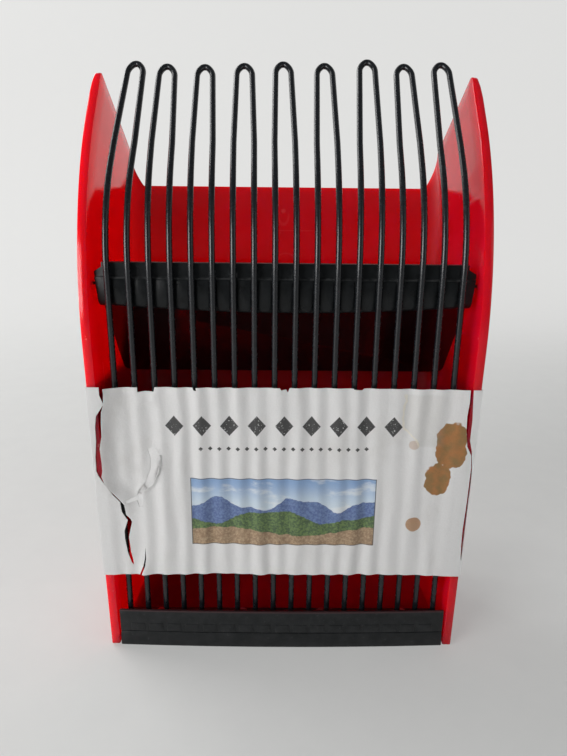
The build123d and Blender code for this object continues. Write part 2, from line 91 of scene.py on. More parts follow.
def inner_half(depth, height):
    """Half the clear width between the side walls, below their bend."""
    return outer_half(depth / DEPTH, height, height) - WALL


def spread(low, high, steps):
    """Evenly spaced values from low to high, both ends included."""
    return [low + (high - low) * step / steps for step in range(steps + 1)]


def drawn_on(bm, vert, step):
    """Draws an edge from a vertex by a step and gives the new vertex."""
    new = bmesh.ops.extrude_vert_indiv(bm, verts=[vert])["verts"]
    bmesh.ops.translate(bm, verts=new, vec=step)
    return new[0]


def only(parts, kind):
    """The parts of one kind, such as vertices, among those that an operator gives back."""
    return [part for part in parts if isinstance(part, kind)]


def swept_on(bm, vert, centre, axis, angle, steps):
    """Draws an arc from a vertex and gives its last vertex."""
    arc = bmesh.ops.spin(bm, geom=[vert], cent=centre, axis=axis, angle=angle, steps=steps, use_merge=False)
    return only(arc["geom_last"], bmesh.types.BMVert)[0]


def pulled(bm, edges, matrix):
    """Pulls a strip of faces out of edges, moves its far side by a matrix and gives the far edges."""
    new = bmesh.ops.extrude_edge_only(bm, edges=edges)["geom"]
    bmesh.ops.transform(bm, matrix=matrix, verts=only(new, bmesh.types.BMVert))
    return only(new, bmesh.types.BMEdge)


def drawn_out(bm, faces, step):
    """Draws faces out by a step, to a closed solid."""
    new = bmesh.ops.extrude_face_region(bm, geom=faces)["geom"]
    bmesh.ops.translate(bm, verts=only(new, bmesh.types.BMVert), vec=step)


def block(bm, corners, along):
    """Adds a closed block: a face with these corners, drawn out by a step."""
    face = bm.faces.new([bm.verts.new(corner) for corner in corners])
    drawn_out(bm, [face], along)


def crossbar(bm, outline, low, high):
    """Adds a closed bar across the width, with an outline of (depth, height) points."""
    block(bm, [(low, *point) for point in outline], (high - low, 0, 0))


def rod(bm, radius, far_radius, start, end, segments=32):
    """Adds a closed round bar, or a cone, from one point to another."""
    start, end = Vector(start), Vector(end)
    turn = (end - start).to_track_quat("Z", "Y").to_matrix().to_4x4()
    bmesh.ops.create_cone(
        bm, cap_ends=True, segments=segments, radius1=radius, radius2=far_radius, depth=(end - start).length,
        matrix=Matrix.Translation((start + end) / 2) @ turn,
    )


def span(edge, axis):
    """How far an edge reaches along an axis, 0 to 2 for X to Z."""
    return abs(edge.verts[0].co[axis] - edge.verts[1].co[axis])


def rounded(bm, edges, radius, segments):
    """Rounds edges over."""
    bmesh.ops.bevel(
        bm, geom=edges, offset=radius, offset_type="OFFSET", affect="EDGES", segments=segments, profile=0.5,
        material=-1, clamp_overlap=False,
    )


def softened(bm, width, segments=2, angle=38.0):
    """Rounds every sharp edge over a little."""
    sharp = [edge for edge in bm.edges if edge.is_manifold and edge.calc_face_angle() > radians(angle)]
    rounded(bm, sharp, width, segments)


def worked(bm, kind, **settings):
    """Works a mesh with one of the modifiers."""
    mesh = bpy.data.meshes.new("blank")
    bmesh.ops.recalc_face_normals(bm, faces=bm.faces)
    bm.to_mesh(mesh)
    blank = bpy.data.objects.new("blank", mesh)
    bpy.context.scene.collection.objects.link(blank)
    modifier = blank.modifiers.new("work", kind)
    for name, value in settings.items():
        setattr(modifier, name, value)
    finished = blank.evaluated_get(bpy.context.evaluated_depsgraph_get())
    bm.clear()
    bm.from_mesh(finished.to_mesh())
    finished.to_mesh_clear()
    bpy.data.objects.remove(blank)
    bpy.data.meshes.remove(mesh)


def joined(bm, tool, operation, mends=True):
    """Cuts a mesh by, or unites it with, a tool mesh. Mends also clears where the mesh cuts itself."""
    mesh = bpy.data.meshes.new("tool")
    bmesh.ops.recalc_face_normals(tool, faces=tool.faces)
    tool.to_mesh(mesh)
    tool.free()
    cutter = bpy.data.objects.new("tool", mesh)
    bpy.context.scene.collection.objects.link(cutter)
    worked(bm, "BOOLEAN", object=cutter, operation=operation, solver="EXACT", use_self=mends)
    bpy.data.objects.remove(cutter)
    bpy.data.meshes.remove(mesh)
    bmesh.ops.remove_doubles(bm, verts=bm.verts, dist=0.004)


def flattened(bm, angle=0.5):
    """Takes out the edges that a cut leaves in flat faces."""
    bmesh.ops.dissolve_limit(bm, angle_limit=radians(angle), verts=bm.verts, edges=bm.edges)


def placed(name, bm, body, slot, finish, *nodes):
    """Puts a mesh worked in millimetres into the frame as a piece that rides on a body."""
    bmesh.ops.translate(bm, vec=(0, RIM_Y, 0), verts=bm.verts)
    bmesh.ops.scale(bm, vec=(0.001, 0.001, 0.001), verts=bm.verts)
    for face in bm.faces:
        face.smooth = True
    mesh = bpy.data.meshes.new(name)
    bm.to_mesh(mesh)
    bm.free()
    mesh.set_sharp_from_angle(angle=radians(32))
    mesh.materials.append(finish)
    piece = bpy.data.objects.new(name, mesh)
    bpy.context.scene.collection.objects.link(piece)
    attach(piece, body)
    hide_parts(*nodes)
    return piece


class Tone:
    """A socket in a node tree. Sums on it add Math nodes."""

    def __init__(self, tree, socket):
        self.tree = tree
        self.socket = socket

    def node(self, kind, settings=None, inputs=None, out=0):
        """Adds a node: its settings, then the values or links of its sockets. Gives one of its outputs."""
        node = self.tree.nodes.new("ShaderNode" + kind)
        for name, value in (settings or {}).items():
            setattr(node, name, value)
        for name, value in (inputs or {}).items():
            if isinstance(value, Tone):
                self.tree.links.new(value.socket, node.inputs[name])
            else:
                node.inputs[name].default_value = value
        return Tone(self.tree, node.outputs[out])

    def sum(self, operation, *others):
        """A Math node on this tone and others."""
        return self.node("Math", {"operation": operation}, dict(enumerate((self, *others))))

    def __add__(self, other):
        return self.sum("ADD", other)

    __radd__ = __add__

    def __mul__(self, other):
        return self.sum("MULTIPLY", other)

    __rmul__ = __mul__

    def __sub__(self, other):
        return self.sum("SUBTRACT", other)

    def __rsub__(self, other):
        return (self * -1.0).sum("ADD", other)

    def __abs__(self):
        return self.sum("ABSOLUTE")

    def above(self, low, high):
        """0 below low, 1 above high, smooth in between."""
        values = {"Value": self, "From Min": low, "From Max": high}
        return self.node("MapRange", {"interpolation_type": "SMOOTHSTEP"}, values)

    def below(self, low, high):
        """1 below low, 0 above high, smooth in between."""
        return 1 - self.above(low, high)

    def between(self, low, high, edge):
        """1 between two values, 0 outside them."""
        return self.above(low - edge, low + edge) * self.below(high - edge, high + edge)

    def wave(self, length, start=0.0):
        """A wave of this tone, from -1 to 1."""
        return (self * (2 * pi / length) + start).sum("SINE")

    def blend(self, first, second):
        """A colour that goes from the first to the second with this tone."""
        return self.node("Mix", {"data_type": "RGBA"}, {0: self, 6: first, 7: second}, out=2)

    def noise(self, scale, detail=3.0, roughness=0.5):
        """Noise over these coordinates."""
        values = {"Vector": self, "Scale": scale, "Detail": detail, "Roughness": roughness}
        return self.node("TexNoise", None, values, out="Fac")

    def stretched(self, x, y, z):
        """These coordinates at other scales."""
        return self.node("Mapping", None, {"Vector": self, "Scale": (x, y, z)})

    def split(self):
        """The three parts of these coordinates."""
        parts = self.node("SeparateXYZ", None, {"Vector": self})
        return [Tone(self.tree, socket) for socket in parts.socket.node.outputs]

    def bump(self, strength, distance):
        """A normal bent by this tone as a height."""
        values = {"Strength": strength, "Distance": distance, "Height": self}
        return self.node("Bump", None, values, out="Normal")


def new_finish(name, **constants):
    """A material, its shader and its object coordinates in millimetres behind the rims."""
    material = bpy.data.materials.new(name)
    material.use_nodes = True
    shader = material.node_tree.nodes["Principled BSDF"]
    for socket, value in constants.items():
        shader.inputs[socket.replace("_", " ")].default_value = value
    coords = material.node_tree.nodes.new("ShaderNodeTexCoord")
    start = Tone(material.node_tree, coords.outputs["Object"])
    moved = {"Vector": start, "Location": (0, -RIM_Y, 0), "Scale": (1000, 1000, 1000)}
    return material, shader, start.node("Mapping", None, moved)


def painted(shader, **tones):
    """Links tones to a shader's sockets."""
    for socket, tone in tones.items():
        tone.tree.links.new(tone.socket, shader.inputs[socket.replace("_", " ")])


def away(across, up, centre):
    """Distance from a point, over two of the coordinates."""
    across, up = across - centre[0], up - centre[1]
    return (across * across + up * up).sum("SQRT")


def bent(line, share, slope=0.0):
    """A point a share of the way round a line's bend, or up the slope past it: run, depth and height."""
    depth, height, radius, angle = line
    turn = angle * share
    on_bend = depth + radius * (1 - cos(turn)), height + radius * sin(turn)
    return height + radius * turn + slope, on_bend[0] + slope * sin(turn), on_bend[1] + slope * cos(turn)


def station(rim, roof):
    """Places the plan of the shell between a point on the rim line and one on the roof line."""
    run, rise = (roof[1] - rim[1]) / DEPTH, (roof[2] - rim[2]) / DEPTH
    return Matrix(((1, 0, 0, 0), (0, run, -rise, rim[1]), (0, rise, run, rim[2]), (0, 0, 0, 1)))


shell = bmesh.new()
roof_flat = HALF - ROOF_CORNER
wall_flat = DEPTH - ROOF_CORNER
corner = shell.verts.new((-HALF, 0, 0))
for step in range(WALL_STEPS):
    corner = drawn_on(shell, corner, (0, wall_flat / WALL_STEPS, 0))
corner = swept_on(shell, corner, (-roof_flat, wall_flat, 0), (0, 0, 1), -pi / 2, CORNER_STEPS)
corner = drawn_on(shell, corner, (2 * roof_flat, 0, 0))
corner = swept_on(shell, corner, (roof_flat, wall_flat, 0), (0, 0, 1), -pi / 2, CORNER_STEPS)
for step in range(WALL_STEPS):
    corner = drawn_on(shell, corner, (0, -wall_flat / WALL_STEPS, 0))
bmesh.ops.remove_doubles(shell, verts=shell.verts, dist=0.001)
stations = [((0, 0, 0), (0, DEPTH, 0))]
for share in spread(0, 1, BEND_STEPS):
    stations.append((bent(RIM_BEND, share), bent(ROOF_BEND, share)))
for share in spread(0, 1, SLOPE_STEPS)[1:]:
    stations.append((bent(RIM_BEND, 1, RIM_SLOPE * share), bent(ROOF_BEND, 1, ROOF_SLOPE * share)))
edges = list(shell.edges)
foot = list(edges)
rings = [[vert for edge in edges for vert in edge.verts]]
for low, high in zip(stations, stations[1:]):
    edges = pulled(shell, edges, station(*high) @ station(*low).inverted())
    rings.append([vert for edge in edges for vert in edge.verts])
# Past the bend, the roof ends at the mouth, square to itself, while the side walls run on to the tips.
bend_end = (bent(RIM_BEND, 1), bent(ROOF_BEND, 1))
mouth_cut = MOUTH_HEIGHT - WALL * sin(ROOF_BEND[3]) - bend_end[1][2]
mouth_cut /= bent(ROOF_BEND, 1, ROOF_SLOPE)[2] - bend_end[1][2]
for (rim, roof), ring in zip(stations, rings):
    flat_again = station(rim, roof).inverted()
    for vert in set(ring):
        plan = flat_again @ vert.co
        kept = 1.0
        if roof[0] > bend_end[1][0]:
            turn = atan2(abs(plan.x) - roof_flat, plan.y - wall_flat) / (pi / 2)
            kept = mouth_cut + (1 - mouth_cut) * min(1.0, max(0.0, turn))
            vert.co = (station(*bend_end) @ plan).lerp(vert.co, kept)
        runs = [end[0] + (point[0] - end[0]) * kept for end, point in zip(bend_end, (rim, roof))]
        share = plan.y / DEPTH
        splay = share * max(0.0, (runs[1] - ROOF_BEND[1]) / SPLAY_RUN) ** 2
        vert.co.x = plan.x * (outer_half(share, *runs) / HALF + SPLAY * splay) - SPLAY_SHIFT * splay
bmesh.ops.contextual_create(shell, geom=[edge for edge in foot if edge.is_valid])
worked(shell, "SOLIDIFY", thickness=-WALL, offset=1.0, use_even_offset=True, use_quality_normals=True)

cuts = bmesh.new()
recess = ((-1, -OUTSIDE), (1, -OUTSIDE), (1, CHANNEL_DEPTH), (-1, CHANNEL_DEPTH))
recess = [(side * inner_half(depth, 0), depth, -OUTSIDE) for side, depth in recess]
block(cuts, recess, (0, 0, OUTSIDE + RECESS_TOP))
bevel = [(DEPTH - BASE_CORNER - 2, -2), (DEPTH + 3, -2), (DEPTH + 3, BASE_CORNER + 3)]
crossbar(cuts, bevel, -BEYOND, BEYOND)
roof_inside = DEPTH - WALL
for x, height in SCREW_PLACES:
    sink_end = roof_inside + SCREW_SINK[1]
    rod(cuts, SCREW_SINK[0], SCREW_HOLE, (x, roof_inside - 0.5, height), (x, sink_end, height))
    rod(cuts, SCREW_HOLE, SCREW_HOLE, (x, roof_inside + 1, height), (x, DEPTH + 1, height))
for x in RIVET_PLACES:
    rod(cuts, RIVET_SINK[0], RIVET_HOLE, (x, RIVET_DEPTH, -0.5), (x, RIVET_DEPTH, RIVET_SINK[1]))
    rod(cuts, RIVET_HOLE, RIVET_HOLE, (x, RIVET_DEPTH, 1), (x, RIVET_DEPTH, WALL + 1))
joined(shell, cuts, "DIFFERENCE")
flattened(shell, 0.02)
tips = [edge for edge in shell.edges if all(vert.co.z > TIP_HEIGHT for vert in edge.verts)]
rounded(shell, [edge for edge in tips if span(edge, 0) > 2], TIP_ROUND, 5)
for vert in shell.verts:
    if vert.co.z > TIP_TURN and abs(vert.co.x) > TIP_OUTSIDE:
        vert.co.x *= 1 - TIP_PULL * ((vert.co.z - TIP_TURN) / TIP_RUN) ** 2
softened(shell, 0.45)
peg_holes = bmesh.new()
rod(peg_holes, PEG_RADIUS + PLAY, PEG_RADIUS + PLAY, (-BEYOND, *PEG), (BEYOND, *PEG))
joined(shell, peg_holes, "DIFFERENCE", mends=False)
bmesh.ops.holes_fill(shell, edges=shell.edges, sides=3)
bmesh.ops.dissolve_degenerate(shell, edges=shell.edges, dist=0.001)

DEEP_RED = (0.56, 0.002, 0.012, 1)
CLEAR_RED = (0.66, 0.003, 0.017, 1)
# pale red: wear on the rims and scratches, and a painted highlight on the mould's marks
WEAR_AND_HIGHLIGHT_RED = (0.8, 0.22, 0.22, 1)
shell_red, shader, place = new_finish(
    "shell_red", IOR=1.5, Specular_IOR_Level=0.33,
    Subsurface_Weight=1.0, Subsurface_Radius=(1.0, 0.03, 0.03), Subsurface_Scale=0.02,
)
x, depth, height = place.split()
cloudy = place.noise(0.04, 3, 0.55)
smears = place.stretched(0.05, 0.05, 0.012).noise(1.6, 4, 0.6)
scratches = place.stretched(1.6, 1.6, 0.05).noise(1.4, 2, 0.5).above(0.66, 0.72)
scratches = scratches * place.noise(0.06, 2).above(0.5, 0.62)
rim_wear = depth.below(0.5, 1.1) * place.noise(0.35, 4, 0.65).above(0.62, 0.72)
# The mould's marks on the inside of the roof: a sprue and its scar, the ring of a pin and a faint line.
# They are bumped, and also painted a lighter pink, which is a painted highlight on them.
sprue = away(x, height, (-0.6, 169.6)).below(0.4, 1.3)
scar = abs(away(x * 1.7, height, (-1.0, 167.8)) - 3.6).below(0.2, 1.1) * height.below(167, 170)
pin_ring = abs(away(x, height, (0.5, 147.8)) - 4.7).below(0.1, 0.5)
faint_line = abs(height - 161.7).below(0.05, 0.35) * x.between(-4, 12, 2)
roof_face = away(depth, height, (DEPTH + ROOF_BEND[2], ROOF_BEND[1]))
roof_face = roof_face.above(ROOF_BEND[2] + 1.5, ROOF_BEND[2] + 1.9)
marks_and_painted_highlight = (sprue * 0.6 + scar * 0.25 + (pin_ring + faint_line) * 0.3) * roof_face
corners = abs(x).between(60, 65.6, 0.6) * depth.above(46, 49)
grain = place.stretched(1.5, 0.4, 0.02).noise(1.0, 3, 0.6)
relief = place.noise(2.2, 3, 0.6) * 0.3 + place.noise(0.12, 2) + grain * 0.3 + marks_and_painted_highlight * 0.5
red = cloudy.above(0.3, 0.7).blend(DEEP_RED, CLEAR_RED)
painted(
    shader,
    # The pale red is wear on the rims and scratches; on the mould's marks it is a painted highlight.
    Base_Color=(rim_wear * 0.5 + scratches * 0.1 + marks_and_painted_highlight * 0.4).blend(red, WEAR_AND_HIGHLIGHT_RED),
    Roughness=smears.above(0.35, 0.75) * 0.08 + 0.09 + scratches * 0.15 + rim_wear * 0.25 + corners * 0.5,
    Normal=relief.bump(0.05, 0.002),
)
placed("body_shell_moulding", shell, "scoop", "shell_red", shell_red, "body_shell")


# Wire tines: nine hairpins of steel wire with a satin black coating. Each is bent from one length, straight
# behind the rims, swept back with them and closed at a long round crown. Its ends sit in the rear channel.
WIRE = 1.1              # radius
WIRE_DEPTH = 4.1
WIRE_FOOT = 2.2
LEGS = 18
LEG_PITCH = 123.2 / (LEGS - 1)
TINE_BEND_HEIGHT = 148.0
TINE_BEND_RADIUS = 64.0
TINE_ANGLE = radians(37)
TINE_REACH = 66.4       # from the bend's corner to the top of the crown
NARROW_START = 30.0     # from that corner to where the two legs start to close up
CROWN_HALF = 2.9
CROWN_SWEEPS = (5.8, 1.7)       # radii of the crown's shoulders and of its top
TINE_SET = (            # each tine's lean to the side and its extra reach
    (2.0, -0.5), (-0.9, -1.7), (-1.4, -1.7), (-1.3, -0.9), (-1.4, 0.1),
    (-0.5, -0.4), (1.0, 1.6), (0.1, -0.3), (-0.4, 0.7),
)
COATING = (0.005, 0.006, 0.008, 1)
COATING_PALE = (0.010, 0.012, 0.015, 1)
BARE_WIRE = (0.5, 0.5, 0.49, 1)

coated_wire, shader, place = new_finish("coated_wire", IOR=1.5)
satin = place.noise(0.5, 3, 0.6)
nicks = place.noise(0.9, 3, 0.6).above(0.8, 0.82)
painted(
    shader,
    Base_Color=nicks.blend(satin.above(0.3, 0.75).blend(COATING, COATING_PALE), BARE_WIRE),
    Roughness=satin * 0.06 + 0.24 + nicks * 0.2,
    Normal=(satin * 0.3 - nicks).bump(0.04, 0.0001),
)
along = Vector((0, sin(TINE_ANGLE), cos(TINE_ANGLE)))
turned = Vector((1, 0, 0)).cross(along)
bent_away = TINE_BEND_RADIUS * tan(TINE_ANGLE / 2)
crown_length = (CROWN_SWEEPS[0] - CROWN_SWEEPS[1]) * sin(pi / 4) + CROWN_SWEEPS[1]
leg = -LEG_PITCH / 2
foot = Matrix.Translation((leg, WIRE_DEPTH, WIRE_FOOT))
for index, (lean, extra) in enumerate(TINE_SET):
    wire = bmesh.new()
    reach = TINE_REACH + extra
    bmesh.ops.create_circle(wire, segments=18, radius=WIRE, matrix=foot, cap_ends=True)
    edges = pulled(wire, list(wire.edges), Matrix.Translation((0, 0, TINE_BEND_HEIGHT - WIRE_FOOT)))
    crown = Vector((0, WIRE_DEPTH, TINE_BEND_HEIGHT + bent_away)) + along * (reach - crown_length)
    sweeps = (
        ((0, WIRE_DEPTH + TINE_BEND_RADIUS, TINE_BEND_HEIGHT), (1, 0, 0), TINE_ANGLE, 20),
        (crown + Vector((CROWN_SWEEPS[0] - CROWN_HALF, 0, 0)), turned, pi / 4, 6),
        (crown + along * (crown_length - CROWN_SWEEPS[1]), turned, pi / 4, 8),
    )
    for stage, (centre, axis, angle, steps) in enumerate(sweeps):
        if stage == 1:
            edges = pulled(wire, edges, Matrix.Translation(along * (NARROW_START - bent_away)))
            closing = Vector((-leg - CROWN_HALF, 0, 0)) + along * (reach - crown_length - NARROW_START)
            edges = pulled(wire, edges, Matrix.Translation(closing))
        arc = bmesh.ops.spin(
            wire, geom=edges, cent=centre, axis=axis, angle=-angle, steps=steps, use_merge=False
        )
        edges = only(arc["geom_last"], bmesh.types.BMEdge)
    bmesh.ops.mirror(wire, geom=wire.verts[:] + wire.edges[:] + wire.faces[:], axis="X", merge_dist=0.01)
    bmesh.ops.remove_doubles(wire, verts=wire.verts, dist=0.01)
    bmesh.ops.recalc_face_normals(wire, faces=wire.faces)
    for vert in wire.verts:
        share = max(vert.co.y - WIRE_DEPTH, 0) / (reach * sin(TINE_ANGLE))
        vert.co.x += lean * share + (index - 4) * 2 * LEG_PITCH
    placed(f"tine_wire_{index + 1}", wire, "scoop", "coated_wire", coated_wire, f"tine_{index + 1}")


# Rear channel: a satin black moulding across the back end that takes the wire ends. Its lip shows below the
# clamp strip, bowed out in the middle, and its flange is riveted down on the shell's floor.
CHANNEL_HALF = 65.18
CHANNEL_TOP = 10.8
LIP_HEIGHT = 6.2
LIP_FRONT = (-0.4, 0.15)        # at its foot and at its top
LIP_BOW = (1.4, 1.25)
FLANGE_HALF = 64.75
FLANGE_BACK = 16.4
FLANGE_TOP = 5.2
WIRE_BACK = WIRE_DEPTH + WIRE
GAPS = [(gap - 8) * LEG_PITCH for gap in range(LEGS - 1)]       # middles of the gaps between the legs
PAD_HALF = 2.75
PAD_LOW = 6.7
PAD_HIGH = 10.0
SLATE = (0.008, 0.009, 0.0095, 1)
SLATE_PALE = (0.016, 0.017, 0.018, 1)
# warm colour for the strip's top edge: a painted reflection of the red shell
EDGE_PAINTED_REFLECTION = (0.07, 0.035, 0.038, 1)
DUST = (0.3, 0.3, 0.3, 1)


def oblong(near, far, low, high):
    """The outline of a plain bar, from one depth to another and from one height to another."""
    return [(near, low), (far, low), (far, high), (near, high)]


def bowed(bm, low_bow, high_bow):
    """Bows the front of a bar out between its ends, by one amount along its foot and another above it."""
    cuts = [((x + off, 0, 0), (1, 0, 0)) for x in GAPS for off in (-PAD_HALF, PAD_HALF)]
    cuts += [((0, 0, height), (0, 0, 1)) for height in (PAD_LOW, PAD_HIGH)]
    for point, normal in cuts:
        everything = bm.verts[:] + bm.edges[:] + bm.faces[:]
        bmesh.ops.bisect_plane(bm, geom=everything, dist=0.01, plane_co=point, plane_no=normal)
    for vert in bm.verts:
        if vert.co.y < 2:
            bow = low_bow if vert.co.z < 1 else high_bow
            vert.co.y -= bow * (1 - (vert.co.x / CHANNEL_HALF) ** 2)


channel = bmesh.new()
lip = [(LIP_FRONT[0], 0), (CHANNEL_DEPTH, 0), (CHANNEL_DEPTH, CHANNEL_TOP), (WIRE_BACK, CHANNEL_TOP)]
lip += [(WIRE_BACK, LIP_HEIGHT), (LIP_FRONT[1], LIP_HEIGHT)]
crossbar(channel, lip, -CHANNEL_HALF, CHANNEL_HALF)
flange = bmesh.new()
crossbar(flange, oblong(CHANNEL_DEPTH - 1, FLANGE_BACK, WALL, FLANGE_TOP), -FLANGE_HALF, FLANGE_HALF)
joined(channel, flange, "UNION")
flattened(channel)
bowed(channel, *LIP_BOW)
softened(channel, 0.35)
fitting_black, shader, place = new_finish("fitting_black", IOR=1.48, Specular_IOR_Level=0.3)
mottle = place.noise(0.25, 4, 0.6)
dust = place.noise(0.8, 5, 0.7).above(0.58, 0.75)
# A warm tint painted along the clamp strip's top edge is a painted reflection of the red shell.
top_edge_painted_reflection = place.split()[2].above(15.2, 15.9)
slate = (top_edge_painted_reflection * 0.8).blend(mottle.above(0.3, 0.7).blend(SLATE, SLATE_PALE), EDGE_PAINTED_REFLECTION)
painted(
    shader,
    Base_Color=(dust * 0.1).blend(slate, DUST),
    Roughness=mottle * 0.2 + 0.3 + dust * 0.1,
    Normal=(place.noise(3.5, 2) + mottle).bump(0.1, 0.0006),
)
placed("rear_channel_moulding", channel, "scoop", "fitting_black", fitting_black, "rear_channel")


# Clamp strip: a black moulded strip pressed over the wires, thin along its top and slotted along its back. It
# has posts through the channel behind it and a row of low pads between the wires on its front.
STRIP_FRONT = 0.3
STRIP_EDGE = 1.2        # back of its thin top edge
STRIP_TOP = 16.0
STRIP_SLOPE = 12.2      # where its back starts to slope up to that edge
PAD_FRONT = 0.12
POST = 1.3              # radius
POST_HEIGHT = 8.6
strip = bmesh.new()
strip_foot = LIP_HEIGHT + PLAY
strip_back = WIRE_BACK - 0.02
outline = [(STRIP_FRONT, strip_foot), (strip_back, strip_foot), (strip_back, STRIP_SLOPE)]
outline += [(STRIP_EDGE, STRIP_TOP), (STRIP_FRONT, STRIP_TOP)]
crossbar(strip, outline, -CHANNEL_HALF, CHANNEL_HALF)
slots = bmesh.new()
slot_half = WIRE + PLAY
for leg in range(LEGS):
    x = (leg - 8.5) * LEG_PITCH
    rod(slots, slot_half, slot_half, (x, WIRE_DEPTH, 0), (x, WIRE_DEPTH, 20), 18)
    crossbar(slots, oblong(WIRE_DEPTH, CHANNEL_DEPTH, 0, 20), x - slot_half, x + slot_half)
joined(strip, slots, "DIFFERENCE")
pads = bmesh.new()
for x in GAPS:
    crossbar(pads, oblong(PAD_FRONT, STRIP_EDGE, PAD_LOW, PAD_HIGH), x - PAD_HALF, x + PAD_HALF)
for x in GAPS[2::4]:
    rod(pads, POST, POST, (x, 4.8, POST_HEIGHT), (x, CHANNEL_DEPTH, POST_HEIGHT), 20)
joined(strip, pads, "UNION")
flattened(strip)
bowed(strip, 1.2, 1.2)
softened(strip, 0.1)
placed("clamp_strip_moulding", strip, "scoop", "fitting_black", fitting_black, "rear_clamp_strip")


# Channel rivets: plated steel, set through the channel's flange and the shell's floor. Each has a low round
# head on the flange and a flush countersunk foot in the resting face.
RIVET_STEPS = ((3.0, 0, 0), (-1.5, 0, 1.5), (0, 0, 3.68), (1.3, 0, 0), (0, 0, 0.1))
RIVET_TOP = 2.4         # radius of the flat on its head
STEEL = (0.5, 0.5, 0.5, 1)
STEEL_PALE = (0.66, 0.66, 0.65, 1)
fastener_steel, shader, place = new_finish("fastener_steel", Metallic=1.0)
tarnish = place.noise(0.9, 4, 0.6)
painted(
    shader,
    Base_Color=tarnish.above(0.3, 0.75).blend(STEEL, STEEL_PALE),
    Roughness=tarnish * 0.25 + 0.22,
    Normal=place.noise(6.0, 2).bump(0.08, 0.0004),
)
rivets = bmesh.new()
for x in RIVET_PLACES:
    end = rivets.verts.new((x, RIVET_DEPTH, 0.02))
    for step in RIVET_STEPS:
        end = drawn_on(rivets, end, step)
    end = swept_on(rivets, end, (x + RIVET_TOP, RIVET_DEPTH, end.co.z), (0, 1, 0), -pi / 2, 5)
    drawn_on(rivets, end, (-RIVET_TOP, 0, 0))
    lathe = [edge for edge in rivets.edges if all(vert.co.x > x - 0.001 for vert in edge.verts)]
    bmesh.ops.spin(
        rivets, geom=lathe, cent=(x, RIVET_DEPTH, 0), axis=(0, 0, 1), angle=2 * pi, steps=24, use_merge=True
    )
bmesh.ops.remove_doubles(rivets, verts=rivets.verts, dist=0.005)
bmesh.ops.recalc_face_normals(rivets, faces=rivets.faces)
placed("rivet_set", rivets, "scoop", "fastener_steel", fastener_steel, "channel_rivets")


# Flap bar: a black moulded cross bar just behind the wires, pegged into the side walls. A ledge parts its two
# bands, low tabs lie between the wires, and its lower edge is a split barrel that holds the flap's bead.
BARREL = (8.3, 140.5)
BARREL_RADIUS = 2.8
BAR_HALF = 66.5
BAR_FRONT = 5.5
BAR_BACK = 9.3
BAR_LEDGE = 148.0
LEDGE_STEP = 0.6
BAR_TOP = 153.0
BAR_SAG = 2.8           # how far the middle of its lower edge hangs below the ends
BEAD_RADIUS = 1.7
GROOVE_HALF = 65.3
LIPS = ((0, -0.95), (5.6, -6.17), (5.6, 6.17), (0, 0.95))       # the split, along the flap and across it
LIPS_ANGLE = radians(42)
PEG_ENDS = (64.0, 70.4)
TAB_PROUD = 0.13
TAB = (
    (-2.3, 147.2), (2.3, 147.2), (2.3, 140.6), (1.9, 139.7),
    (1.1, 139.2), (-1.1, 139.2), (-1.9, 139.7), (-2.3, 140.6),
)
BAR_SLATE = (0.005, 0.006, 0.0065, 1)
BAR_SLATE_PALE = (0.010, 0.0115, 0.0125, 1)
# grey for scuffs where the wires rub, and for a painted highlight along the ledge
SCUFF_AND_HIGHLIGHT_GREY = (0.35, 0.35, 0.35, 1)
bar = bmesh.new()
stepped = BAR_FRONT + LEDGE_STEP
bands = [(BAR_FRONT, BARREL[1]), (BAR_FRONT, BAR_LEDGE), (stepped, BAR_LEDGE), (stepped, BAR_TOP)]
bands += [(BAR_BACK, BAR_TOP), (BAR_BACK, BARREL[1])]
crossbar(bar, bands, -BAR_HALF, BAR_HALF)
barrel = bmesh.new()
rod(barrel, BARREL_RADIUS, BARREL_RADIUS, (-BAR_HALF, *BARREL), (BAR_HALF, *BARREL), 48)
joined(bar, barrel, "UNION")
groove = bmesh.new()
rod(groove, BEAD_RADIUS + PLAY, BEAD_RADIUS + PLAY, (-GROOVE_HALF, *BARREL), (GROOVE_HALF, *BARREL))
run = sin(LIPS_ANGLE)
drop = cos(LIPS_ANGLE)
lips = [(BARREL[0] + out * run + off * drop, BARREL[1] - out * drop + off * run) for out, off in LIPS]
crossbar(groove, lips, -GROOVE_HALF, GROOVE_HALF)
for side in (-1, 1):
    edge = side * BAR_HALF
    past = edge + 2 * side
    top_cut = [(edge - 2.6 * side, 151.4), (past, 148.6), (past, 160), (edge - 2.6 * side, 160)]
    under_cut = [(edge, 149), (past, 149), (past, 130), (edge - 1.8 * side, 130)]
    for cut in (top_cut, under_cut):
        block(groove, [(x, 0, height) for x, height in cut], (0, 20, 0))
joined(bar, groove, "DIFFERENCE")
tabs = bmesh.new()
for side in (-1, 1):
    rod(tabs, PEG_RADIUS, PEG_RADIUS, (side * PEG_ENDS[0], *PEG), (side * PEG_ENDS[1], *PEG), 24)
for x in GAPS:
    block(tabs, [(x + off, BAR_FRONT - TAB_PROUD, height) for off, height in TAB], (0, 1.5, 0))
joined(bar, tabs, "UNION")
flattened(bar)
for x in spread(-60, 60, 20):
    everything = bar.verts[:] + bar.edges[:] + bar.faces[:]
    bmesh.ops.bisect_plane(bar, geom=everything, plane_co=(x, 0, 0), plane_no=(1, 0, 0))
for vert in bar.verts:
    ahead = BARREL[0] + 0.1 - vert.co.y
    from_pivot = Vector((vert.co.y - BARREL[0], vert.co.z - BARREL[1])).length
    if ahead > 0 and from_pivot > BEAD_RADIUS + 0.5:
        sag = BAR_SAG * (1 - (vert.co.x / BAR_HALF) ** 2) * min(1, ahead / 2)
        vert.co.z -= sag * min(1, max(0, (BAR_LEDGE - 0.5 - vert.co.z) / 5))
softened(bar, 0.12)
bar_black, shader, place = new_finish("bar_black", IOR=1.48, Specular_IOR_Level=0.25)
x, depth, height = place.split()
